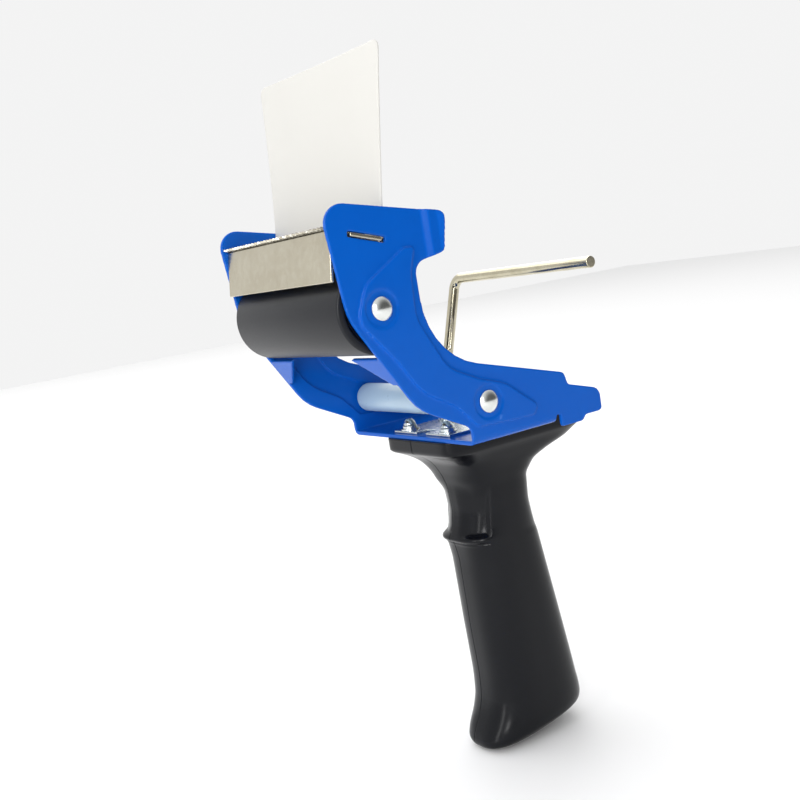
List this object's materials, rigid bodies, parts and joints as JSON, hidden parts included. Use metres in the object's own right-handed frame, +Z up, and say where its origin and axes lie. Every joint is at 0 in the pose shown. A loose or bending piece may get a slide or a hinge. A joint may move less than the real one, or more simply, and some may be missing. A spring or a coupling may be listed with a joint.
{
  "type": "tape dispenser",
  "caption": "Hand-held packing tape dispenser: U-shaped steel frame with rubber front roller, toothed blade, plastic flap, guide roller, side-loading roll rod and moulded pistol grip.",
  "frame": {"origin": "underside of the frame's web, midway between the side plates, where the handle is clamped", "axes": "+X from the blade towards the tail, +Y from the near plate to the far plate that carries the rod, +Z up away from the handle"},
  "size_m": [0.1049, 0.0868, 0.2552],
  "materials": {
    "blue_paint": "glossy baked enamel, mid blue",
    "nickel_strip": "bright nickel plate with fine rolling lines",
    "blade_steel": "nickel-plated spring steel",
    "milky_sheet": "milky translucent polyester sheet, satin",
    "dark_rubber": "smooth ground rubber, satin",
    "core_plastic": "natural moulded plastic",
    "black_plastic": "moulded plastic, semi-gloss black",
    "bright_steel": "bright zinc-plated steel",
    "clear_plastic": "translucent natural polyethylene",
    "nickel_rod": "nickel-plated drawn rod",
    "zinc_steel": "bright zinc plate"
  },
  "bodies": {
    "root": {"frame": "blue_paint", "blade_guard": "nickel_strip", "blade": "blade_steel", "blade_rivets": "nickel_strip", "flap_root": "milky_sheet", "flap_bar": "nickel_strip", "flap_rivets": "nickel_strip", "front_axle": "bright_steel", "front_washers": "bright_steel", "rear_axle": "bright_steel", "guide_washers": "bright_steel", "roll_rod": "nickel_rod", "clamp_plate": "zinc_steel", "flat_washers": "zinc_steel", "spring_washers": "zinc_steel", "clamp_screws": "zinc_steel", "clamp_nuts": "zinc_steel", "handle_near_half": "black_plastic", "handle_far_half": "black_plastic", "handle_screws": "bright_steel"},
    "front_roller": {"roller_sleeve": "dark_rubber", "roller_core": "core_plastic", "roller_bushes": "black_plastic"},
    "rear_roller": {"guide_roller": "clear_plastic"},
    "flap_body": {"flap": "milky_sheet"}
  },
  "joints": [
    {"name": "front_roller_spin", "type": "hinge", "parent": "root", "child": "front_roller", "pos_m": [-0.0464, 0, 0.0506], "axis": [0, 1, 0], "continuous": true},
    {"name": "guide_roller_spin", "type": "hinge", "parent": "root", "child": "rear_roller", "pos_m": [-0.0112, 0, 0.0137], "axis": [0, 1, 0], "continuous": true},
    {"name": "flap_bend", "type": "hinge", "parent": "root", "child": "flap_body", "pos_m": [-0.03876, 0, 0.07908], "axis": [0, 1, 0], "range_deg": [-45, 60], "stiffness_Nm_per_rad": 0.05}
  ]
}
